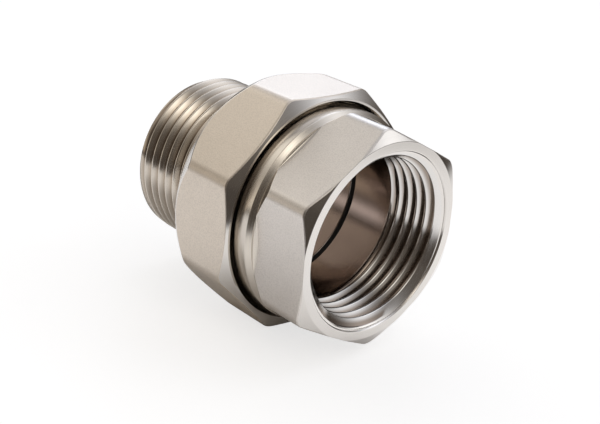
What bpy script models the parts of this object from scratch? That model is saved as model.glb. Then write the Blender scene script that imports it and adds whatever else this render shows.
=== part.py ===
"""Tube union with flat seal: a tailpiece with a male pipe thread, its captive
octagonal nut, a hexagonal body with a female pipe thread, and a seal ring.

Metres, +Z up. The waterway runs along X, with the mouth of the body at +X.
The nut's lowest flat lies on z = 0, and the origin is under the middle of the
fitting's length.
"""

import math

import bmesh
import bpy
from mathutils import Matrix

MM = 0.001

# Whole fitting
OVERALL_LENGTH = 41.5 * MM
FACE_GAP = 0.3 * MM              # between faces that meet when the nut is tight

# Pipe thread, the same size in the mouth and on the tail
PIPE_PITCH = 1.814 * MM
PIPE_MAJOR_RADIUS = 13.22 * MM
PIPE_MINOR_RADIUS = 12.06 * MM
PIPE_HALF_ANGLE = math.radians(27.5)
PIPE_RUNOUT_TURNS = 0.4          # over which a groove rises out of the metal
TAIL_THREAD_LENGTH = 12.0 * MM
TAIL_THREAD_PHASE = 1.43 * MM    # tail face to the first crest, at the +Y side
MOUTH_THREAD_LENGTH = 10.2 * MM
MOUTH_THREAD_PHASE = 0.66 * MM   # mouth face to the first crest, at the +Y side

# Union thread between the nut and the body
UNION_MAJOR_RADIUS = 16.42 * MM
UNION_THREAD_DEPTH = 0.92 * MM
UNION_CLEARANCE = 0.3 * MM

# Hexagonal body
HEX_ACROSS_FLATS = 30.0 * MM
HEX_CORNER_FILLET = 1.75 * MM
HEX_TURN = math.radians(3.5)     # of one corner, from straight up
HEX_LENGTH = 10.0 * MM           # mouth face to the bottom of the groove
HEX_FACE_RADIUS = 15.1 * MM      # where the mouth face meets the front chamfer
HEX_FRONT_ANGLE = math.radians(25.0)
HEX_BACK_CONE_LENGTH = 1.8 * MM
HEX_BACK_CONE_RISE = 1.35 * MM
FLAT_RUNOUT = 0.9 * MM           # from the end of a flat up to the groove
GROOVE_RADIUS = 15.7 * MM
SHOULDER_LENGTH = 0.6 * MM       # groove up to the neck
NECK_LENGTH = 3.4 * MM
BODY_LENGTH = 18.0 * MM
BODY_BORE_RADIUS = 12.6 * MM
MOUTH_RADIUS = 13.7 * MM
MOUTH_COUNTERSINK_DEPTH = 0.9 * MM
SPIGOT_CHAMFER = 0.5 * MM

# Seal ring
SEAL_THICKNESS = 0.6 * MM
SEAL_INNER_RADIUS = 12.2 * MM
SEAL_OUTER_RADIUS = 15.0 * MM

# Tailpiece
TAIL_BORE_RADIUS = 10.0 * MM
TAIL_MOUTH_RADIUS = 12.0 * MM   # of the wider bore behind the seal
TAIL_MOUTH_DEPTH = 3.4 * MM
TAIL_MOUTH_TAPER = 2.0 * MM
TAIL_END_CHAMFER = 1.0 * MM
COLLAR_RADIUS = 15.1 * MM
COLLAR_LENGTH = 3.1 * MM
EDGE_BREAK = 0.3 * MM            # small chamfers on turned edges

# Octagonal nut
NUT_ACROSS_FLATS = 36.0 * MM
NUT_CORNER_FILLET = 1.5 * MM
NUT_LENGTH = 11.8 * MM
NUT_FACE_RADIUS = 17.5 * MM
NUT_FRONT_ANGLE = math.radians(30.0)
NUT_BACK_RADIUS = 17.88 * MM
NUT_BACK_ANGLE = math.radians(60.0)
NUT_FLANGE_THICKNESS = 2.1 * MM
NUT_SLIDE_CLEARANCE = 0.38 * MM  # flange over the tailpiece
NUT_MOUTH_CLEARANCE = 0.58 * MM  # countersink round the neck
NUT_NECK_CLEARANCE = 0.33 * MM   # counterbore round the neck
NUT_COUNTERSINK_DEPTH = 0.6 * MM

# Facets
ROUND_STEPS = 64
THREAD_STEPS = 48
MERGE_DISTANCE = 0.000001
OVERSHOOT = 1.0 * MM             # how far a cutter stands out of the metal
SHARP_ANGLE = math.radians(30.0)

# Stations along X, from the mouth face; finish_part centres the fitting
MOUTH_X = 0.0
TAIL_X = -OVERALL_LENGTH
GROOVE_X = MOUTH_X - HEX_LENGTH
NECK_X = GROOVE_X - SHOULDER_LENGTH
SPIGOT_X = NECK_X - NECK_LENGTH
BODY_END_X = MOUTH_X - BODY_LENGTH
SEAL_FRONT_X = BODY_END_X - FACE_GAP
SEAL_BACK_X = SEAL_FRONT_X - SEAL_THICKNESS
COLLAR_FRONT_X = SEAL_BACK_X - FACE_GAP
COLLAR_BACK_X = COLLAR_FRONT_X - COLLAR_LENGTH
FLANGE_X = COLLAR_BACK_X - FACE_GAP
NUT_BACK_X = FLANGE_X - NUT_FLANGE_THICKNESS
NUT_FRONT_X = NUT_BACK_X + NUT_LENGTH

AXIS_HEIGHT = NUT_ACROSS_FLATS / 2
UNION_MEAN_RADIUS = UNION_MAJOR_RADIUS - UNION_THREAD_DEPTH / 2


def clear_scene():
    for obj in list(bpy.data.objects):
        bpy.data.objects.remove(obj)


def new_collection(name):
    collection = bpy.data.collections.new(name)
    bpy.context.scene.collection.children.link(collection)
    return collection


def principled(name, color, roughness, metallic):
    material = bpy.data.materials.new(name)
    material.use_nodes = True
    shader = material.node_tree.nodes["Principled BSDF"]
    shader.inputs["Base Color"].default_value = (*color, 1.0)
    shader.inputs["Roughness"].default_value = roughness
    shader.inputs["Metallic"].default_value = metallic
    return material


def add_object(name, mesh, collection):
    obj = bpy.data.objects.new(name, mesh)
    collection.objects.link(obj)
    return obj


def freeze(obj):
    """Turn the modifiers of an object into its mesh, with the faces pointing out."""
    bpy.context.view_layer.update()
    graph = bpy.context.evaluated_depsgraph_get()
    mesh = bpy.data.meshes.new_from_object(obj.evaluated_get(graph), depsgraph=graph)
    bm = bmesh.new()
    bm.from_mesh(mesh)
    bmesh.ops.recalc_face_normals(bm, faces=bm.faces)
    bm.to_mesh(mesh)
    bm.free()
    obj.modifiers.clear()
    obj.data = mesh
    return obj


def turned(name, outline, collection, steps=ROUND_STEPS):
    """Solid of revolution about X. The outline is a list of (station, radius)
    corners; it closes on itself, or on the axis if it starts and ends there."""
    corners = [(x, 0.0, radius) for x, radius in outline]
    edges = [(i, i + 1) for i in range(len(corners) - 1)]
    if outline[0][1] > 0.0:
        edges.append((len(corners) - 1, 0))
    mesh = bpy.data.meshes.new(name)
    mesh.from_pydata(corners, edges, [])
    obj = add_object(name, mesh, collection)
    screw = obj.modifiers.new("Turn", "SCREW")
    screw.axis = "X"
    screw.steps = steps
    screw.render_steps = steps
    screw.use_merge_vertices = True
    screw.merge_threshold = MERGE_DISTANCE
    return freeze(obj)


def prism(name, sides, across_flats, corner_angle, fillet, back_x, front_x, collection):
    """Bar along X with regular sides, one corner at corner_angle from +Y, and
    rounded corners."""
    radius = across_flats / 2 / math.cos(math.pi / sides)
    bm = bmesh.new()
    bmesh.ops.create_cone(bm, cap_ends=True, segments=sides, radius1=radius, radius2=radius,
                          depth=front_x - back_x)
    upright = [e for e in bm.edges if abs(e.verts[0].co.z - e.verts[1].co.z) > MERGE_DISTANCE]
    bmesh.ops.bevel(bm, geom=upright, offset=fillet * math.tan(math.pi / sides), segments=4,
                    profile=0.5, affect="EDGES")
    corner = max(bm.verts, key=lambda vertex: vertex.co.xy.length)
    first = math.atan2(corner.co.y, corner.co.x)
    # The bar stands on Z with a corner at the angle first, and is laid along X
    bm.transform(Matrix.Rotation(corner_angle - first, 4, "Z"))
    bm.transform(Matrix(((0, 0, 1, 0), (1, 0, 0, 0), (0, 1, 0, 0), (0, 0, 0, 1))))
    bm.transform(Matrix.Translation(((front_x + back_x) / 2, 0.0, 0.0)))
    mesh = bpy.data.meshes.new(name)
    bm.to_mesh(mesh)
    bm.free()
    return add_object(name, mesh, collection)


def thread_tool(name, root_radius, crest_radius, groove_x, turns, runout_sign, collection):
    """Helical cutter for a right-hand thread about X. Its tip is at root_radius
    and its groove is centred on groove_x at the +Y side. The last part of it
    rises out of the metal: at the +X end for 1, at the -X end for -1."""
    outward = 1 if crest_radius > root_radius else -1
    depth = abs(crest_radius - root_radius)
    flat = (PIPE_PITCH - 2 * depth * math.tan(PIPE_HALF_ANGLE)) / 4
    reach = depth + flat / 2
    base = flat + reach * math.tan(PIPE_HALF_ANGLE)
    section = ((-flat, 0.0), (flat, 0.0), (base, reach), (-base, reach))
    steps = round(turns * THREAD_STEPS)
    bm = bmesh.new()
    rings = []
    for step in range(steps + 1):
        left = (steps - step) / THREAD_STEPS
        lift = depth * max(0.0, 1.0 - left / PIPE_RUNOUT_TURNS)
        turn = runout_sign * step / THREAD_STEPS
        angle = 2 * math.pi * turn
        ring = []
        for along, height in section:
            radius = root_radius + outward * (height + lift)
            x = groove_x + turn * PIPE_PITCH + along
            ring.append(bm.verts.new((x, radius * math.cos(angle), radius * math.sin(angle))))
        rings.append(ring)
    for here, there in zip(rings, rings[1:]):
        for i in range(len(section)):
            j = (i + 1) % len(section)
            bm.faces.new((here[i], here[j], there[j], there[i]))
    bm.faces.new(rings[0])
    bm.faces.new(rings[-1])
    bmesh.ops.recalc_face_normals(bm, faces=bm.faces)
    mesh = bpy.data.meshes.new(name)
    bm.to_mesh(mesh)
    bm.free()
    return add_object(name, mesh, collection)


def combine(target, other, operation):
    """Boolean of the target with a tool that stays as a hidden guide."""
    other.hide_render = True
    other.display_type = "WIRE"
    modifier = target.modifiers.new(other.name, "BOOLEAN")
    modifier.operation = operation
    modifier.object = other


def finish_part(obj, material):
    """Freeze the part, put it at its place in the fitting, shade it and colour it."""
    freeze(obj)
    obj.data.materials.clear()
    obj.data.materials.append(material)
    obj.data.shade_smooth()
    obj.data.set_sharp_from_angle(angle=SHARP_ANGLE)
    obj.location = (OVERALL_LENGTH / 2, 0.0, AXIS_HEIGHT)
    return obj


def make_tailpiece(parts, tools, material):
    chamfer_radius = PIPE_MAJOR_RADIUS - TAIL_END_CHAMFER
    step_x = COLLAR_FRONT_X - TAIL_MOUTH_DEPTH
    outline = [
        (TAIL_X, TAIL_BORE_RADIUS + EDGE_BREAK),
        (TAIL_X, chamfer_radius),
        (TAIL_X + TAIL_END_CHAMFER, PIPE_MAJOR_RADIUS),
        (COLLAR_BACK_X, PIPE_MAJOR_RADIUS),
        (COLLAR_BACK_X, COLLAR_RADIUS),
        (COLLAR_FRONT_X - EDGE_BREAK, COLLAR_RADIUS),
        (COLLAR_FRONT_X, COLLAR_RADIUS - EDGE_BREAK),
        (COLLAR_FRONT_X, TAIL_MOUTH_RADIUS + EDGE_BREAK),
        (COLLAR_FRONT_X - EDGE_BREAK, TAIL_MOUTH_RADIUS),
        (step_x, TAIL_MOUTH_RADIUS),
        (step_x - TAIL_MOUTH_TAPER, TAIL_BORE_RADIUS),
        (TAIL_X + EDGE_BREAK, TAIL_BORE_RADIUS),
    ]
    tail = turned("tailpiece", outline, parts, THREAD_STEPS)
    first_groove = TAIL_X + TAIL_THREAD_PHASE - 1.5 * PIPE_PITCH
    turns = (TAIL_X + TAIL_THREAD_LENGTH - first_groove) / PIPE_PITCH
    groove = thread_tool("tail_thread_tool", PIPE_MINOR_RADIUS, PIPE_MAJOR_RADIUS, first_groove,
                         turns, 1, tools)
    combine(tail, groove, "DIFFERENCE")
    return finish_part(tail, material)


def make_female_body(parts, tools, material):
    corner_radius = HEX_ACROSS_FLATS / math.sqrt(3)
    front_fall = (corner_radius - HEX_FACE_RADIUS) * math.tan(HEX_FRONT_ANGLE)
    cone_slope = HEX_BACK_CONE_RISE / HEX_BACK_CONE_LENGTH
    cone_x = GROOVE_X + (corner_radius - GROOVE_RADIUS) / cone_slope
    hex_bar = prism("female_body", 6, HEX_ACROSS_FLATS, math.pi / 2 + HEX_TURN, HEX_CORNER_FILLET,
                    GROOVE_X - OVERSHOOT, MOUTH_X + OVERSHOOT, parts)

    # The bar is turned to its front chamfer and back cone
    under = GROOVE_X - EDGE_BREAK
    envelope = turned("hex_envelope", [
        (MOUTH_X, 0.0),
        (MOUTH_X, HEX_FACE_RADIUS),
        (MOUTH_X - front_fall, corner_radius),
        (MOUTH_X - front_fall, corner_radius + OVERSHOOT),
        (cone_x, corner_radius + OVERSHOOT),
        (cone_x, corner_radius),
        (under, GROOVE_RADIUS - EDGE_BREAK * cone_slope),
        (under, 0.0),
    ], tools)
    combine(hex_bar, envelope, "INTERSECT")

    # Behind it: groove, shoulder, neck and threaded spigot
    flat_radius = HEX_ACROSS_FLATS / 2
    runout_slope = (GROOVE_RADIUS - flat_radius) / FLAT_RUNOUT
    spigot_radius = UNION_MEAN_RADIUS - UNION_CLEARANCE / 2
    neck = turned("neck", [
        (GROOVE_X + FLAT_RUNOUT + EDGE_BREAK, 0.0),
        (GROOVE_X + FLAT_RUNOUT + EDGE_BREAK, flat_radius - EDGE_BREAK * runout_slope),
        (GROOVE_X, GROOVE_RADIUS),
        (NECK_X, UNION_MAJOR_RADIUS),
        (SPIGOT_X, UNION_MAJOR_RADIUS),
        (SPIGOT_X, spigot_radius),
        (BODY_END_X + SPIGOT_CHAMFER, spigot_radius),
        (BODY_END_X, spigot_radius - SPIGOT_CHAMFER),
        (BODY_END_X, 0.0),
    ], tools)
    combine(hex_bar, neck, "UNION")

    # The waterway, the tapping bore and the countersink of the mouth
    tapping_x = MOUTH_X - MOUTH_THREAD_LENGTH
    countersink_x = MOUTH_X - MOUTH_COUNTERSINK_DEPTH
    countersink_slope = (MOUTH_RADIUS - PIPE_MINOR_RADIUS) / MOUTH_COUNTERSINK_DEPTH
    bore = turned("body_bore", [
        (MOUTH_X + OVERSHOOT, 0.0),
        (MOUTH_X + OVERSHOOT, MOUTH_RADIUS + OVERSHOOT * countersink_slope),
        (countersink_x, PIPE_MINOR_RADIUS),
        (tapping_x, PIPE_MINOR_RADIUS),
        (tapping_x, BODY_BORE_RADIUS),
        (BODY_END_X - OVERSHOOT, BODY_BORE_RADIUS),
        (BODY_END_X - OVERSHOOT, 0.0),
    ], tools, THREAD_STEPS)
    combine(hex_bar, bore, "DIFFERENCE")

    first_groove = MOUTH_X - MOUTH_THREAD_PHASE + 1.5 * PIPE_PITCH
    turns = (first_groove - tapping_x) / PIPE_PITCH
    groove = thread_tool("mouth_thread_tool", PIPE_MAJOR_RADIUS, PIPE_MINOR_RADIUS, first_groove,
                         turns, -1, tools)
    combine(hex_bar, groove, "DIFFERENCE")
    return finish_part(hex_bar, material)


def make_union_nut(parts, tools, material):
    corner_radius = NUT_ACROSS_FLATS / 2 / math.cos(math.pi / 8)
    nut = prism("union_nut", 8, NUT_ACROSS_FLATS, math.pi / 8, NUT_CORNER_FILLET,
                NUT_BACK_X - OVERSHOOT, NUT_FRONT_X + OVERSHOOT, parts)
    front_fall = (corner_radius - NUT_FACE_RADIUS) * math.tan(NUT_FRONT_ANGLE)
    back_fall = (corner_radius - NUT_BACK_RADIUS) * math.tan(NUT_BACK_ANGLE)
    thread_radius = UNION_MEAN_RADIUS + UNION_CLEARANCE / 2
    flange_radius = PIPE_MAJOR_RADIUS + NUT_SLIDE_CLEARANCE
    neck_radius = UNION_MAJOR_RADIUS + NUT_NECK_CLEARANCE
    thread_x = SPIGOT_X - FACE_GAP
    envelope = turned("nut_envelope", [
        (NUT_BACK_X, flange_radius),
        (NUT_BACK_X, NUT_BACK_RADIUS),
        (NUT_BACK_X + back_fall, corner_radius),
        (NUT_BACK_X + back_fall, corner_radius + OVERSHOOT),
        (NUT_FRONT_X - front_fall, corner_radius + OVERSHOOT),
        (NUT_FRONT_X - front_fall, corner_radius),
        (NUT_FRONT_X, NUT_FACE_RADIUS),
        (NUT_FRONT_X, UNION_MAJOR_RADIUS + NUT_MOUTH_CLEARANCE),
        (NUT_FRONT_X - NUT_COUNTERSINK_DEPTH, neck_radius),
        (thread_x, neck_radius),
        (thread_x - FACE_GAP, thread_radius),
        (FLANGE_X, thread_radius),
        (FLANGE_X, flange_radius),
    ], tools)
    combine(nut, envelope, "INTERSECT")
    return finish_part(nut, material)


def make_seal_ring(parts, material):
    seal = turned("seal_ring", [
        (SEAL_BACK_X, SEAL_INNER_RADIUS),
        (SEAL_BACK_X, SEAL_OUTER_RADIUS),
        (SEAL_FRONT_X, SEAL_OUTER_RADIUS),
        (SEAL_FRONT_X, SEAL_INNER_RADIUS),
    ], parts)
    return finish_part(seal, material)


def main():
    clear_scene()
    parts = new_collection("tube_union")
    tools = new_collection("tools")
    make_tailpiece(parts, tools, principled("plated_turned", (0.62, 0.58, 0.53), 0.18, 1.0))
    make_union_nut(parts, tools, principled("plated_nut", (0.60, 0.56, 0.51), 0.35, 1.0))
    make_female_body(parts, tools, principled("plated_body", (0.64, 0.60, 0.56), 0.32, 1.0))
    make_seal_ring(parts, principled("seal_rubber", (0.015, 0.015, 0.015), 0.6, 0.0))


main()
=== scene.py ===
"""Looks of a nickel-plated tube union: fine threads, rounded forged edges,
turned and satin surfaces, a pale studio floor and soft light."""
import math

import bmesh
import bpy
import numpy as np
from mathutils import Matrix, Vector


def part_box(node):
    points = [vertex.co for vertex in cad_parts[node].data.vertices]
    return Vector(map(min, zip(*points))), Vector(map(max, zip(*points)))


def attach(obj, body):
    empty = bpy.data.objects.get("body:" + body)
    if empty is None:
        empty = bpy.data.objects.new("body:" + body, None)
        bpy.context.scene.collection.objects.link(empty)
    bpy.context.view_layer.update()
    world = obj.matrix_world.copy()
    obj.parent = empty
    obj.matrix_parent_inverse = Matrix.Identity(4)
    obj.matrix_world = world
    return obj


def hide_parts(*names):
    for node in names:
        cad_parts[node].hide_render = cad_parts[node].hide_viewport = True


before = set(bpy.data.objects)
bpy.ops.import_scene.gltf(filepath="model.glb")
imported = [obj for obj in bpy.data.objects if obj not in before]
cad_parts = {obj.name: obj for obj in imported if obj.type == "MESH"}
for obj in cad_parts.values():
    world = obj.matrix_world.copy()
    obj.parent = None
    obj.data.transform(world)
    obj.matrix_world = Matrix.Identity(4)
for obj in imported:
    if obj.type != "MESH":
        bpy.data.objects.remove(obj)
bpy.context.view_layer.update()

MM = 0.001

# Stations and the axis, in millimetres, from the frame
BODY_LOW, BODY_HIGH = (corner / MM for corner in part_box("female_body"))
NUT_LOW, NUT_HIGH = (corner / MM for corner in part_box("union_nut"))
TAIL_LOW, TAIL_HIGH = (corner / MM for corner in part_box("tailpiece"))
AXIS_Z = (NUT_LOW.z + NUT_HIGH.z) / 2
MOUTH_X = BODY_HIGH.x
BODY_END_X = BODY_LOW.x
TAIL_X = TAIL_LOW.x
COLLAR_X = TAIL_HIGH.x
NUT_FRONT_X = NUT_HIGH.x
NUT_BACK_X = NUT_LOW.x

# Pipe thread of the mouth and the tail, in millimetres
PIPE_PITCH = 1.814
PIPE_MAJOR = 13.22
PIPE_MINOR = 12.06
PIPE_ROUNDING = 0.22
TAIL_THREAD_LENGTH = 12.0
TAIL_THREAD_PHASE = 1.43
TAIL_END_CHAMFER = 1.0
MOUTH_THREAD_LENGTH = 10.2
MOUTH_THREAD_PHASE = 0.90
TAPPING_X = MOUTH_X - MOUTH_THREAD_LENGTH

# Union thread of the nut and of the body's spigot
UNION_PITCH = 1.5
UNION_MAJOR = 16.42
UNION_DEPTH = 0.92
UNION_ROUNDING = 0.12
UNION_PLAY = 0.14

# Angle between a thread's flanks, turn from a crest to a flank, and rise of a run-out
THREAD_ANGLE = math.radians(55.0)
FLANK_TURN = (math.pi - THREAD_ANGLE) / 2
RUN_OUT_SLOPE = 1.2

# Hexagonal body
HEX_SIDES = 6
HEX_FLAT = 15.0
HEX_FILLET = 2.2
HEX_CORNER = math.radians(93.5)
HEX_LENGTH = 10.0
FACE_RADIUS = 15.1
FACE_LIP = 0.04
FRONT_SLOPE = math.tan(math.radians(25.0))
GROOVE_X = MOUTH_X - HEX_LENGTH
GROOVE_RADIUS = 15.7
BACK_SLOPE = 0.75
BACK_LIP = 0.02
SHOULDER_LENGTH = 0.6
NECK_LENGTH = 3.4
NECK_X = GROOVE_X - SHOULDER_LENGTH
SPIGOT_X = NECK_X - NECK_LENGTH
SPIGOT_CHAMFER = 0.5
BORE_RADIUS = 12.6
MOUTH_EDGE = 13.75
SINK_RADIUS = 13.58
SINK_DEPTH = 0.3
SINK_SLOPE = 1.9
SINK_NOTCH = 0.08
SINK_LIP = 0.02
SINK_RIM_X = MOUTH_X - SINK_DEPTH
SINK_ROOT_X = SINK_RIM_X - (SINK_RADIUS - PIPE_MAJOR) / SINK_SLOPE

# Octagonal nut
NUT_SIDES = 8
NUT_FLAT = 18.0
NUT_FILLET = 2.6
NUT_CORNER = math.radians(22.5)
NUT_FACE_RADIUS = 17.5
NUT_FRONT_SLOPE = math.tan(math.radians(30.0))
NUT_MOUTH_RADIUS = 17.0
NUT_MOUTH_BEVEL = 0.17
NUT_MOUTH_DEPTH = 0.45
NUT_MOUTH_TAPER = 0.12
NUT_BACK_RADIUS = 17.88
NUT_BACK_SLOPE = math.tan(math.radians(60.0))
NUT_FLANGE = 2.1
NUT_FLANGE_RADIUS = 13.6
NUT_RELIEF = 2.0
NUT_CHAMBER = UNION_MAJOR + UNION_PLAY
NUT_SINK_STEP = 0.2
NUT_SINK_RADIUS = NUT_CHAMBER + NUT_SINK_STEP
NUT_THREAD_SETBACK = 0.4
NUT_THREAD_X = SPIGOT_X - NUT_THREAD_SETBACK

# Tailpiece and seal
TAIL_BORE = 10.0
TAIL_MOUTH = 12.4
TAIL_MOUTH_DEPTH = 3.4
TAIL_TAPER = 2.4
COLLAR_RADIUS = 15.1
COLLAR_LENGTH = 3.1
SEAL_INNER = 12.4
SEAL_OUTER = 15.0
SEAL_SEAM = 0.1
SEAL_CLEARANCE = 0.02
SEAL_THICKNESS = 0.66
SEAL_FRONT_X = BODY_END_X - SEAL_CLEARANCE
SEAL_BACK_X = SEAL_FRONT_X - SEAL_THICKNESS

# Mesh detail: points of a rounded corner, supports beside it, angles between rows, weld in metres
ARC_POINTS = 5
STRAIGHT = math.pi / 2 - 0.01
SUPPORT = 0.07
SUPPORT_SHARE = 0.3
COARSE_STEP = math.radians(1.8)
FINE_STEP = math.radians(0.6)
FINE_REACH = math.radians(5.0)
CLOSEST = 0.45 * FINE_STEP
WELD = 0.0000015

# Painted shade in the threads' roots, darkening between two radii, and its fade above the countersink
MOUTH_ROOT_PAINTED_SHADE = (12.15, 12.85, (0.31, 0.26, 0.22))
TAIL_ROOT_PAINTED_SHADE = (13.1, 12.3, (0.42, 0.35, 0.28))
CONE_FADE = (0.01, 0.05)

# Span that holds most of a noise, and the specks of a forged flat
NOISE_SPAN = (0.3, 0.7)
SPECK_SPAN = (0.36, 0.60)
SPECK_SHADE = (0.91, 1.05)

# Camera: angles in degrees, place and lens in millimetres, nearest depth in metres
CAMERA_AZIMUTH = 45.14
CAMERA_ELEVATION = 22.41
CAMERA_ROLL = 6.31
CAMERA_PLACE = (111.668, -107.385, 79.201)
CAMERA_LENS = 64.94
SENSOR_WIDTH = 36.0
NEAR_CLIP = 0.01

# Floor, in metres: its bright table fades at an edge and an end. The metal sees a painted glow on the
# table, brighter towards the back, with painted shadows that make it dimmer under the object
FLOOR_SIZE = 6.0
FLOOR_DROP = 0.00002
FLOOR_COLOUR = (0.85, 0.85, 0.85)
FLOOR_SEEN = (0.45, 0.45, 0.45)
FLOOR_GLOW = 0.70
TABLE_MIDDLE = (-0.04, -0.04, 0.0)
TABLE_EDGE = (0.13, 0.26)
TABLE_END_AXIS = (1.0, -0.4, 0.0)
TABLE_END = (0.064, 0.084)
TABLE_GLOW_AXIS = (0.7, 0.7, 0.0)
TABLE_GLOW_REACH = (-0.06, 0.06)
TABLE_GLOW = (0.32, 0.50)
TABLE_PAINTED_SHADOWS = (
    ((0.0, -0.014, 0.0), (0.011, 0.035)),
    ((0.016, -0.003, 0.0), (0.005, 0.012)),
)

# Dim room, and soft lights as (azimuth, elevation, width, colour), with angles in degrees
WHITE = (1.0, 1.0, 1.0)
ROOM_COLOUR = (0.110, 0.094, 0.080)
SKY_LIGHTS = (
    (44, 9, 12, (1.40, 1.42, 1.46)),
    (58, 46, 15, (1.22, 1.27, 1.37)),
    (110, 68, 16, (1.10, 1.15, 1.27)),
    (135, 26, 10, (2.20, 2.38, 2.72)),
    (167, 21, 9, (2.60, 2.50, 2.35)),
    (190, 52, 10, (0.50, 0.49, 0.47)),
    (205, 41, 12, (0.88, 0.85, 0.79)),
    (228, 5, 13, (0.80, 0.74, 0.65)),
    (252, 42, 11, (0.40, 0.37, 0.34)),
    (258, 2, 10, (0.45, 0.38, 0.31)),
    (283, 62, 11, (0.60, 0.57, 0.54)),
    (330, 45, 10, (1.05, 0.98, 0.90)),
    (353, 39, 8, (1.75, 1.70, 1.58)),
)


# Outlines

def fillet(before, corner, after, radius, reach):
    """Points of an arc that rounds a corner. It takes at most a share, reach, of
    the shorter side. A straight or sharp corner is its own point, repeated."""
    back = np.subtract(before, corner)
    ahead = np.subtract(after, corner)
    room = reach * min(np.hypot(*back), np.hypot(*ahead))
    back = back / np.hypot(*back)
    ahead = ahead / np.hypot(*ahead)
    half = math.acos(max(-1.0, min(1.0, float(back @ ahead)))) / 2
    if radius == 0 or half > STRAIGHT:
        return [tuple(corner)] * ARC_POINTS
    tangent = min(radius / math.tan(half), room)
    bisector = back + ahead
    middle = corner + bisector / np.hypot(*bisector) * tangent / math.cos(half)
    sweep = math.pi - 2 * half
    start = corner + back * tangent - middle
    end = corner + ahead * tangent - middle
    across = (end - start * math.cos(sweep)) / math.sin(sweep)
    return [tuple(middle + start * math.cos(turn) + across * math.sin(turn))
            for turn in np.linspace(0.0, 1.0, ARC_POINTS) * sweep]


def rounded_path(corners, bands):
    """Open path of (station, radius, fillet, reach) corners with rounded turns and
    support points beside them. Returns the points and the band of the side
    that follows each point."""
    spots = [np.array(corner[:2], float) for corner in corners]
    groups = [[tuple(spots[0])]]
    for i in range(1, len(corners) - 1):
        groups.append(fillet(spots[i - 1], spots[i], spots[i + 1], corners[i][2], corners[i][3]))
    groups.append([tuple(spots[-1])])
    points = list(groups[0])
    marks = [bands[0]]
    for i, band in enumerate(bands):
        start = np.array(groups[i][-1])
        side = np.array(groups[i + 1][0]) - start
        length = np.hypot(*side)
        step = min(SUPPORT, SUPPORT_SHARE * length) / length
        points += [tuple(start + side * step), tuple(start + side - side * step)]
        marks += [band] * 2
        points += groups[i + 1]
        marks += [bands[min(i + 1, len(bands) - 1)]] * len(groups[i + 1])
    return points, marks


def thread_form(pitch, crest, root, rounding):
    """One pitch of a thread from crest to crest, as (along, radius) points."""
    sign = 1 if crest > root else -1
    arc = np.linspace(-FLANK_TURN, FLANK_TURN, ARC_POINTS)
    arcs = [(0.0, crest, -sign, arc[arc >= 0]), (pitch / 2, root, sign, arc),
            (pitch, crest, -sign, arc[arc < 0])]
    form = []
    for middle, radius, side, turns in arcs:
        for turn in turns:
            form.append((middle + rounding * math.sin(turn),
                         radius + side * rounding * (1 - math.cos(turn))))
    return form


def thread_path(form, pitch, first_crest, low, high, angle, limit):
    """The thread where the half-plane at an angle cuts it, between two stations."""
    first = math.floor((low - first_crest - pitch) / pitch)
    last = math.ceil((high - first_crest) / pitch)
    points = []
    for turn in range(first, last + 1):
        for along, radius in form:
            x = first_crest + turn * pitch + pitch * angle / (2 * math.pi) + along
            x = min(max(x, low), high)
            points.append((x, limit(x, radius)))
    return points


def polygon_radius(angle, sides, corner, flat, rounding):
    """Polar radius of a regular polygon with rounded corners."""
    half = math.pi / sides
    turn = abs((angle - corner + half) % (2 * half) - half)
    centre = (flat - rounding) / math.cos(half)
    tangent = math.atan2(rounding * math.sin(half), centre + rounding * math.cos(half))
    if turn < tangent:
        return centre * math.cos(turn) + math.sqrt(rounding ** 2 - (centre * math.sin(turn)) ** 2)
    return flat / math.cos(half - turn)


def turn_angles(sides=0, corner=0.0):
    """Angles of the rows round the axis, closer together at polygon corners."""
    angles = list(np.arange(0.0, 2 * math.pi - COARSE_STEP / 2, COARSE_STEP))
    for i in range(sides):
        middle = corner + 2 * math.pi * i / sides
        angles += list(middle + np.arange(-FINE_REACH, FINE_REACH + FINE_STEP / 2, FINE_STEP))
    kept = [0.0]
    for angle in sorted(angle % (2 * math.pi) for angle in angles):
        if angle - kept[-1] > CLOSEST and 2 * math.pi - angle > CLOSEST:
            kept.append(angle)
    return kept + [2 * math.pi]


def row_faces(rows, count):
    """Quads between neighbouring rows of closed sections."""
    faces = []
    for i in range(rows - 1):
        for j in range(count):
            k = (j + 1) % count
            faces.append((i * count + j, i * count + k, (i + 1) * count + k, (i + 1) * count + j))
    return faces


def loft(name, outline_at, angles, materials):
    """Closed skin through an outline that may change with the angle. outline_at
    gives (station, radius) points and the material name of each side."""
    rows = []
    sides = []
    for angle in angles:
        points, marks = outline_at(angle)
        sides += marks
        ring = np.array(points)
        rows.append(np.column_stack((ring[:, 0], ring[:, 1] * math.cos(angle),
                                     AXIS_Z + ring[:, 1] * math.sin(angle))))
    verts = np.concatenate(rows) * MM
    faces = row_faces(len(rows), len(rows[0]))
    names = sorted(set(sides))
    mesh = bpy.data.meshes.new(name)
    mesh.from_pydata(verts.tolist(), [], faces)
    mesh.polygons.foreach_set("material_index", [names.index(mark) for mark in sides[:len(faces)]])
    bm = bmesh.new()
    bm.from_mesh(mesh)
    bmesh.ops.remove_doubles(bm, verts=bm.verts, dist=WELD)
    bmesh.ops.recalc_face_normals(bm, faces=bm.faces)
    bm.to_mesh(mesh)
    bm.free()
    for mark in names:
        mesh.materials.append(materials[mark])
    mesh.shade_smooth()
    obj = bpy.data.objects.new(name, mesh)
    bpy.context.scene.collection.objects.link(obj)
    return obj


# The four pieces. Corners are (station, radius, fillet, reach), and a side's mark names its finish

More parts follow.
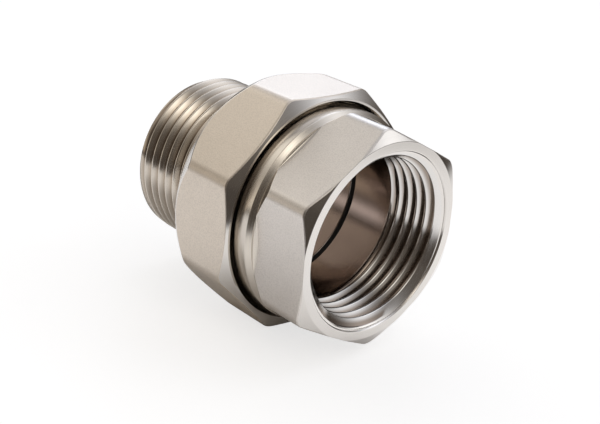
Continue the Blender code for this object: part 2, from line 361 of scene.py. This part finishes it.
def body_outline(angle):
    hexagon = polygon_radius(angle, HEX_SIDES, HEX_CORNER, HEX_FLAT, HEX_FILLET)
    face = min(FACE_RADIUS, hexagon - FACE_LIP)
    chamfer_x = MOUTH_X - (hexagon - face) * FRONT_SLOPE
    proud = max(hexagon - GROOVE_RADIUS, 0.0)
    flat_end = GROOVE_X + proud / BACK_SLOPE + BACK_LIP
    outside, outside_marks = rounded_path([
        (SINK_ROOT_X, PIPE_MAJOR, 0, 0),
        (SINK_RIM_X - SINK_NOTCH, SINK_RADIUS - SINK_NOTCH * SINK_SLOPE, 0.02, 0.2),
        (SINK_RIM_X, SINK_RADIUS + SINK_NOTCH, 0.02, 0.2),
        (SINK_RIM_X + SINK_NOTCH, SINK_RADIUS + SINK_LIP, 0.02, 0.2),
        (MOUTH_X, MOUTH_EDGE, 0.12, 0.4),
        (MOUTH_X, face, 0.25, 0.45),
        (chamfer_x, hexagon, 0.35, 0.45),
        (flat_end, hexagon, 0.5 if proud else 0.9, 0.8),
        (GROOVE_X, GROOVE_RADIUS, 0.07, 0.15),
        (NECK_X, UNION_MAJOR, 0.14, 0.4),
        (SPIGOT_X, UNION_MAJOR, 0, 0),
    ], ["turned"] * 6 + ["satin"] + ["union"] * 3)
    spigot = thread_path(UNION_FORM, UNION_PITCH, BODY_END_X, BODY_END_X + SPIGOT_CHAMFER,
                         SPIGOT_X, angle, spigot_limit)[::-1]
    inside, inside_marks = rounded_path([
        (BODY_END_X + SPIGOT_CHAMFER, UNION_MAJOR - SPIGOT_CHAMFER, 0, 0),
        (BODY_END_X, UNION_MAJOR - 2 * SPIGOT_CHAMFER, 0.1, 0.4),
        (BODY_END_X, BORE_RADIUS, 0.12, 0.4),
        (TAPPING_X, BORE_RADIUS, 0, 0),
    ], ["turned"] + ["bore"] * 2)
    mouth = thread_path(MOUTH_FORM, PIPE_PITCH, MOUTH_X - MOUTH_THREAD_PHASE, TAPPING_X, SINK_ROOT_X,
                        angle, mouth_limit)
    points = outside + spigot + inside + mouth
    marks = outside_marks + ["union"] * len(spigot) + inside_marks + ["thread"] * len(mouth)
    return points, marks


def spigot_limit(x, radius):
    """Union thread of the body: it runs out before the neck and is chamfered."""
    run_out = UNION_MAJOR - max(SPIGOT_X - x, 0.0) * RUN_OUT_SLOPE
    end = UNION_MAJOR - 2 * SPIGOT_CHAMFER + (x - BODY_END_X)
    return min(max(radius, run_out), end, UNION_MAJOR)


def sink_radius(x):
    """Radius of the countersink at a station."""
    return SINK_RADIUS - (SINK_RIM_X - x) * SINK_SLOPE


def mouth_limit(x, radius):
    """Pipe thread of the mouth: it runs out at the bore, and the countersink cuts it."""
    depth = (x - TAPPING_X) * RUN_OUT_SLOPE
    cut = min(max(radius, BORE_RADIUS - depth), BORE_RADIUS + depth)
    return max(cut, sink_radius(x))


def nut_outline(angle):
    octagon = polygon_radius(angle, NUT_SIDES, NUT_CORNER, NUT_FLAT, NUT_FILLET)
    face = min(NUT_FACE_RADIUS, octagon - FACE_LIP)
    front_x = NUT_FRONT_X - (octagon - face) * NUT_FRONT_SLOPE
    back_x = NUT_BACK_X + (octagon - NUT_BACK_RADIUS) * NUT_BACK_SLOPE
    flange_x = NUT_BACK_X + NUT_FLANGE
    relief_x = flange_x + NUT_RELIEF
    plain, plain_marks = rounded_path([
        (NUT_THREAD_X, NUT_SINK_RADIUS, 0, 0),
        (NUT_FRONT_X - NUT_MOUTH_DEPTH, NUT_MOUTH_RADIUS - NUT_MOUTH_TAPER, 0.1, 0.4),
        (NUT_FRONT_X, NUT_MOUTH_RADIUS + NUT_MOUTH_BEVEL, 0.06, 0.3),
        (NUT_FRONT_X, face, 0.08, 0.4),
        (front_x, octagon, 0.3, 0.45),
        (back_x, octagon, 0.5, 0.45),
        (NUT_BACK_X, NUT_BACK_RADIUS, 0.25, 0.4),
        (NUT_BACK_X, NUT_FLANGE_RADIUS, 0.2, 0.4),
        (flange_x, NUT_FLANGE_RADIUS, 0.15, 0.4),
        (flange_x, NUT_CHAMBER, 0.15, 0.4),
        (relief_x, NUT_CHAMBER, 0, 0),
    ], ["turned"] * 4 + ["satin"] + ["turned"] * 5)
    thread = thread_path(NUT_FORM, UNION_PITCH, BODY_END_X, relief_x, NUT_THREAD_X, angle, nut_limit)
    return plain + thread, plain_marks + ["thread"] * len(thread)


def nut_limit(x, radius):
    """Union thread of the nut: opened by the countersink at its mouth."""
    return max(radius, NUT_SINK_RADIUS - (NUT_THREAD_X - x))


def tail_outline(angle):
    thread_end = TAIL_X + TAIL_THREAD_LENGTH
    collar_back = COLLAR_X - COLLAR_LENGTH
    step_x = SEAL_BACK_X - TAIL_MOUTH_DEPTH
    plain, plain_marks = rounded_path([
        (thread_end, PIPE_MAJOR, 0, 0),
        (collar_back, PIPE_MAJOR, 0.3, 0.4),
        (collar_back, COLLAR_RADIUS, 0.15, 0.4),
        (SEAL_BACK_X, COLLAR_RADIUS, 0.3, 0.4),
        (SEAL_BACK_X, TAIL_MOUTH, 0.15, 0.2),
        (step_x, TAIL_MOUTH, 0.5, 0.3),
        (step_x - TAIL_TAPER, TAIL_BORE, 1.0, 0.3),
        (TAIL_X, TAIL_BORE, 0.3, 0.2),
        (TAIL_X, PIPE_MAJOR - TAIL_END_CHAMFER, 0, 0),
    ], ["turned"] * 4 + ["bore"] * 3 + ["turned"])
    thread = thread_path(TAIL_FORM, PIPE_PITCH, TAIL_X + TAIL_THREAD_PHASE, TAIL_X, thread_end,
                         angle, tail_limit)
    return plain + thread, plain_marks + ["thread"] * len(thread)


def tail_limit(x, radius):
    """Pipe thread of the tail: chamfered at the end, run out before the stub."""
    run_out = PIPE_MAJOR - max(TAIL_X + TAIL_THREAD_LENGTH - x, 0.0) * RUN_OUT_SLOPE
    end = PIPE_MAJOR - TAIL_END_CHAMFER + (x - TAIL_X)
    return min(max(radius, run_out), end, PIPE_MAJOR)


def seal_outline(angle):
    """The same at each angle. The path starts and ends on the back face."""
    middle = (SEAL_INNER + SEAL_OUTER) / 2
    return rounded_path([
        (SEAL_BACK_X, middle, 0, 0),
        (SEAL_BACK_X, SEAL_INNER, 0.2, 0.3),
        (SEAL_FRONT_X, SEAL_INNER, 0.2, 0.3),
        (SEAL_FRONT_X, SEAL_OUTER, 0.2, 0.3),
        (SEAL_BACK_X, SEAL_OUTER, 0.2, 0.3),
        (SEAL_BACK_X, middle + SEAL_SEAM, 0, 0),
    ], ["rubber"] * 5)


UNION_FORM = thread_form(UNION_PITCH, UNION_MAJOR, UNION_MAJOR - UNION_DEPTH, UNION_ROUNDING)
NUT_FORM = thread_form(UNION_PITCH, NUT_CHAMBER, NUT_CHAMBER - UNION_DEPTH, UNION_ROUNDING)
MOUTH_FORM = thread_form(PIPE_PITCH, PIPE_MINOR, PIPE_MAJOR, PIPE_ROUNDING)
TAIL_FORM = thread_form(PIPE_PITCH, PIPE_MAJOR, PIPE_MINOR, PIPE_ROUNDING)


# Shader nodes. Each term is a constant or the output of another node

def put(tree, term, socket):
    """Links a term to a socket, or sets it there when it is a constant."""
    if isinstance(term, bpy.types.NodeSocket):
        tree.links.new(term, socket)
    else:
        socket.default_value = term


def number(tree, operation, *terms):
    """Result of an operation on numbers."""
    node = tree.nodes.new("ShaderNodeMath")
    node.operation = operation
    for socket, term in zip(node.inputs, terms):
        put(tree, term, socket)
    return node.outputs["Value"]


def measure(tree, operation, *terms):
    """A length, distance or dot product of vectors."""
    node = tree.nodes.new("ShaderNodeVectorMath")
    node.operation = operation
    for socket, term in zip(node.inputs, terms):
        put(tree, term, socket)
    return node.outputs["Value"]


def scaled(tree, vector, factor):
    """A vector or colour times a number."""
    node = tree.nodes.new("ShaderNodeVectorMath")
    node.operation = "SCALE"
    put(tree, vector, node.inputs[0])
    put(tree, factor, node.inputs["Scale"])
    return node.outputs["Vector"]


def added(tree, first, second):
    """Sum of two vectors or colours."""
    node = tree.nodes.new("ShaderNodeVectorMath")
    node.operation = "ADD"
    put(tree, first, node.inputs[0])
    put(tree, second, node.inputs[1])
    return node.outputs["Vector"]


def choose(tree, factor, off, on):
    """Mix of two colours."""
    node = tree.nodes.new("ShaderNodeMix")
    node.data_type = "RGBA"
    for colour, socket in ((off, node.inputs[6]), (on, node.inputs[7])):
        put(tree, (*colour, 1.0) if isinstance(colour, tuple) else colour, socket)
    put(tree, factor, node.inputs["Factor"])
    return node.outputs[2]


def spread(tree, value, span, levels, kind="LINEAR"):
    """A value's span stretched to two levels, and held at them beyond it."""
    node = tree.nodes.new("ShaderNodeMapRange")
    node.interpolation_type = kind
    for name, term in zip(("From Min", "From Max", "To Min", "To Max"), (*span, *levels)):
        node.inputs[name].default_value = term
    put(tree, value, node.inputs["Value"])
    return node.outputs["Result"]


def ramp(tree, value, span, levels):
    """Smooth step from one level to the other over a span."""
    return spread(tree, value, span, levels, "SMOOTHSTEP")


def noise(tree, vector, scale, detail):
    node = tree.nodes.new("ShaderNodeTexNoise")
    node.inputs["Scale"].default_value = scale
    node.inputs["Detail"].default_value = detail
    put(tree, vector, node.inputs["Vector"])
    return node.outputs["Fac"]


def bump(tree, height, strength, distance, normal=None):
    node = tree.nodes.new("ShaderNodeBump")
    node.inputs["Strength"].default_value = strength
    node.inputs["Distance"].default_value = distance
    put(tree, height, node.inputs["Height"])
    if normal:
        put(tree, normal, node.inputs["Normal"])
    return node.outputs["Normal"]


def axial_place(tree):
    """Place on the object, its station along the axis and its distance from the axis."""
    place = tree.nodes.new("ShaderNodeTexCoord").outputs["Object"]
    parts = tree.nodes.new("ShaderNodeSeparateXYZ")
    put(tree, place, parts.inputs["Vector"])
    flat = tree.nodes.new("ShaderNodeCombineXYZ")
    put(tree, parts.outputs["Y"], flat.inputs["X"])
    put(tree, number(tree, "SUBTRACT", parts.outputs["Z"], AXIS_Z * MM), flat.inputs["Y"])
    return place, parts.outputs["X"], measure(tree, "LENGTH", flat.outputs["Vector"])


def lathe_vector(tree, station, radius, along, across):
    """Scaled station and radius, for marks that run round the axis."""
    join = tree.nodes.new("ShaderNodeCombineXYZ")
    put(tree, number(tree, "MULTIPLY", station, along), join.inputs["X"])
    put(tree, number(tree, "MULTIPLY", radius, across), join.inputs["Y"])
    return join.outputs["Vector"]


# Materials

def new_material(name):
    material = bpy.data.materials.new(name)
    material.use_nodes = True
    return material, material.node_tree, material.node_tree.nodes["Principled BSDF"]


def dress(tree, shader, colour, roughness, normal):
    """Gives a shader its colour, its roughness as (pattern, levels) and its bumps."""
    pattern, levels = roughness
    put(tree, colour, shader.inputs["Base Color"])
    put(tree, spread(tree, pattern, NOISE_SPAN, levels), shader.inputs["Roughness"])
    put(tree, normal, shader.inputs["Normal"])


def satin_nickel(name, dark, light):
    """Plating over a forged and tumbled flat: fine grain with faint grinding."""
    material, tree, shader = new_material(name)
    shader.inputs["Metallic"].default_value = 1.0
    place, station, radius = axial_place(tree)
    cloud = noise(tree, place, scale=260.0, detail=3.0)
    grain = noise(tree, place, scale=6200.0, detail=2.0)
    brushed = noise(tree, lathe_vector(tree, station, radius, 900.0, 40.0), scale=5.0, detail=3.0)
    speck = ramp(tree, grain, SPECK_SPAN, SPECK_SHADE)
    colour = scaled(tree, choose(tree, cloud, dark, light), speck)
    surface = bump(tree, brushed, strength=0.10, distance=0.00002)
    surface = bump(tree, grain, strength=1.0, distance=0.00002, normal=surface)
    dress(tree, shader, colour, (grain, (0.30, 0.38)), surface)
    return material


def turned_nickel(name, dark, light, rough, root=None, cone=None):
    """Bright plating over a lathe-turned surface with fine rings. A root is the
    radii of a thread's crest and root and the colour of a painted shade that
    darkens the thread towards its root. A cone, as (radius at the origin,
    slope), cuts the thread and gets no painted shade."""
    material, tree, shader = new_material(name)
    shader.inputs["Metallic"].default_value = 1.0
    shader.inputs["Anisotropic"].default_value = 0.3
    around = tree.nodes.new("ShaderNodeTangent")
    around.direction_type = "RADIAL"
    around.axis = "X"
    put(tree, around.outputs["Tangent"], shader.inputs["Tangent"])
    place, station, radius = axial_place(tree)
    cloud = noise(tree, place, scale=180.0, detail=2.0)
    rings = noise(tree, lathe_vector(tree, station, radius, 4200.0, 4200.0), scale=1.0, detail=2.0)
    colour = choose(tree, cloud, dark, light)
    # Painted shade: the colour darkens from a thread's crest towards its root
    if root:
        crest, bottom, shade = root
        depth = ramp(tree, radius, (crest * MM, bottom * MM), (0.0, 1.0))
        if cone:
            start, slope = cone
            above = number(tree, "MULTIPLY_ADD", station, -slope, radius)
            span = tuple((start + fade) * MM for fade in CONE_FADE)
            depth = number(tree, "MULTIPLY", depth, ramp(tree, above, span, (0.0, 1.0)))
        colour = choose(tree, depth, colour, shade)
    dress(tree, shader, colour, (rings, rough), bump(tree, rings, strength=0.12, distance=0.00001))
    return material


def black_rubber(name):
    """Matt rubber with a fine grain."""
    material, tree, shader = new_material(name)
    place = tree.nodes.new("ShaderNodeTexCoord").outputs["Object"]
    grain = noise(tree, place, scale=3000.0, detail=3.0)
    colour = choose(tree, grain, (0.006, 0.006, 0.006), (0.012, 0.012, 0.012))
    surface = bump(tree, grain, strength=0.2, distance=0.00002)
    dress(tree, shader, colour, (grain, (0.55, 0.75)), surface)
    return material


# Studio

def add_camera():
    azimuth = math.radians(CAMERA_AZIMUTH)
    elevation = math.radians(CAMERA_ELEVATION)
    roll = math.radians(CAMERA_ROLL)
    back = Vector((math.sin(azimuth) * math.cos(elevation), -math.cos(azimuth) * math.cos(elevation),
                   math.sin(elevation)))
    level = Vector((math.cos(azimuth), math.sin(azimuth), 0.0))
    right = level * math.cos(roll) + back.cross(level) * math.sin(roll)
    turn = Matrix((right, back.cross(right), back)).transposed().to_4x4()
    camera = bpy.data.cameras.new("camera")
    camera.sensor_width = SENSOR_WIDTH
    camera.lens = CAMERA_LENS
    camera.clip_start = NEAR_CLIP
    obj = bpy.data.objects.new("camera", camera)
    obj.matrix_world = Matrix.Translation(Vector(CAMERA_PLACE) * MM) @ turn
    bpy.context.scene.collection.objects.link(obj)
    bpy.context.scene.camera = obj


def floor_material():
    """The camera sees a glow that makes the floor white in the open and keeps
    the shadow. The metal sees a bright table that ends in the dim room a
    little way off, with a painted glow on it that is brighter towards the
    back and has painted shadows under the object."""
    material, tree, shader = new_material("floor")
    tree.nodes.remove(shader)
    path = tree.nodes.new("ShaderNodeLightPath").outputs
    place = tree.nodes.new("ShaderNodeTexCoord").outputs["Object"]
    edge = ramp(tree, measure(tree, "DISTANCE", place, TABLE_MIDDLE), TABLE_EDGE, (1.0, 0.0))
    end = ramp(tree, measure(tree, "DOT_PRODUCT", place, TABLE_END_AXIS), TABLE_END, (1.0, 0.0))
    table = number(tree, "MULTIPLY", edge, end)
    # Painted light: the glow the metal sees on the table, brighter towards the back
    along = measure(tree, "DOT_PRODUCT", place, TABLE_GLOW_AXIS)
    painted_light = number(tree, "MULTIPLY", table, ramp(tree, along, TABLE_GLOW_REACH, TABLE_GLOW))
    # Painted shadows: round dark spots in that glow under the object
    for middle, span in TABLE_PAINTED_SHADOWS:
        unshadowed = ramp(tree, measure(tree, "DISTANCE", place, middle), span, (0.0, 1.0))
        painted_light = number(tree, "MULTIPLY", painted_light, unshadowed)
    painted_reflection = number(tree, "MULTIPLY", painted_light, path["Is Glossy Ray"])
    diffuse = tree.nodes.new("ShaderNodeBsdfDiffuse")
    table_or_room = choose(tree, table, ROOM_COLOUR, FLOOR_COLOUR)
    put(tree, choose(tree, path["Is Camera Ray"], table_or_room, FLOOR_SEEN), diffuse.inputs["Color"])
    glow = tree.nodes.new("ShaderNodeEmission")
    strength = number(tree, "MULTIPLY_ADD", path["Is Camera Ray"], FLOOR_GLOW, painted_reflection)
    put(tree, strength, glow.inputs["Strength"])
    join = tree.nodes.new("ShaderNodeAddShader")
    put(tree, diffuse.outputs["BSDF"], join.inputs[0])
    put(tree, glow.outputs["Emission"], join.inputs[1])
    put(tree, join.outputs["Shader"], tree.nodes["Material Output"].inputs["Surface"])
    return material


def add_floor():
    bm = bmesh.new()
    bmesh.ops.create_grid(bm, x_segments=1, y_segments=1, size=FLOOR_SIZE)
    mesh = bpy.data.meshes.new("floor")
    bm.to_mesh(mesh)
    bm.free()
    mesh.materials.append(floor_material())
    floor = bpy.data.objects.new("floor", mesh)
    floor.location.z = -FLOOR_DROP
    bpy.context.scene.collection.objects.link(floor)


def sky_light(tree, place, azimuth, elevation, width, colour):
    """A soft round light in the sky, brightest in the middle."""
    around = math.radians(azimuth)
    up = math.radians(elevation)
    middle = (math.cos(up) * math.cos(around), math.cos(up) * math.sin(around), math.sin(up))
    sharp = 1.0 / math.radians(width) ** 2
    fall = number(tree, "MULTIPLY_ADD", measure(tree, "DOT_PRODUCT", place, middle), sharp, -sharp)
    return scaled(tree, colour, number(tree, "EXPONENT", fall))


def add_world():
    """White for the camera. The object stands in a dim room with soft lights
    above it, behind it and low on both sides."""
    world = bpy.data.worlds.new("studio")
    bpy.context.scene.world = world
    world.use_nodes = True
    tree = world.node_tree
    place = tree.nodes.new("ShaderNodeTexCoord").outputs["Generated"]
    total = ROOM_COLOUR
    for light in SKY_LIGHTS:
        total = added(tree, sky_light(tree, place, *light), total)
    camera_ray = tree.nodes.new("ShaderNodeLightPath").outputs["Is Camera Ray"]
    put(tree, choose(tree, camera_ray, total, WHITE), tree.nodes["Background"].inputs["Color"])


TURNED = turned_nickel("turned_nickel", (0.68, 0.65, 0.61), (0.74, 0.71, 0.68), (0.10, 0.16))
# Painted shade: a darker, warmer copy of the turned nickel on the neck and groove between the nut and the
# hex, and on the union threads
SHADED_UNION_NICKEL = turned_nickel("shaded_union_nickel", (0.62, 0.57, 0.51), (0.70, 0.65, 0.58), (0.14, 0.24))
MOUTH_NICKEL = turned_nickel("mouth_nickel", (0.67, 0.65, 0.62), (0.73, 0.71, 0.69), (0.10, 0.16),
                             MOUTH_ROOT_PAINTED_SHADE, (sink_radius(0.0), SINK_SLOPE))
TAIL_NICKEL = turned_nickel("tail_nickel", (0.62, 0.57, 0.50), (0.68, 0.62, 0.55), (0.12, 0.18),
                            TAIL_ROOT_PAINTED_SHADE)
# Painted shade: a darker, browner copy of the turned nickel inside the bores
SHADED_BORE_NICKEL = turned_nickel("shaded_bore_nickel", (0.40, 0.335, 0.29), (0.47, 0.40, 0.35), (0.12, 0.18))
NUT_SATIN = satin_nickel("nut_nickel", (0.66, 0.59, 0.51), (0.71, 0.64, 0.56))
BODY_SATIN = satin_nickel("body_nickel", (0.69, 0.65, 0.61), (0.74, 0.70, 0.66))
RUBBER = black_rubber("seal_rubber")

# Each piece: its name, outline and row angles, its finishes, and the body, node and slot it dresses
PIECES = (
    ("body_skin", body_outline, turn_angles(HEX_SIDES, HEX_CORNER),
     {"turned": TURNED, "satin": BODY_SATIN, "union": SHADED_UNION_NICKEL, "bore": SHADED_BORE_NICKEL, "thread": MOUTH_NICKEL},
     "female_body", "female_body", "plated_body"),
    ("nut_skin", nut_outline, turn_angles(NUT_SIDES, NUT_CORNER),
     {"turned": TURNED, "satin": NUT_SATIN, "thread": SHADED_UNION_NICKEL},
     "union_nut", "union_nut", "plated_nut"),
    ("tail_skin", tail_outline, turn_angles(),
     {"turned": TURNED, "bore": SHADED_BORE_NICKEL, "thread": TAIL_NICKEL},
     "tailpiece", "tailpiece", "plated_turned"),
    ("seal_skin", seal_outline, turn_angles(),
     {"rubber": RUBBER},
     "tailpiece", "seal_ring", "seal_rubber"),
)
for name, outline, angles, finishes, body, node, slot in PIECES:
    piece = loft(name, outline, angles, finishes)
    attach(piece, body)
    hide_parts(node)

add_camera()
add_floor()
add_world()
bpy.context.scene.view_settings.view_transform = "Standard"
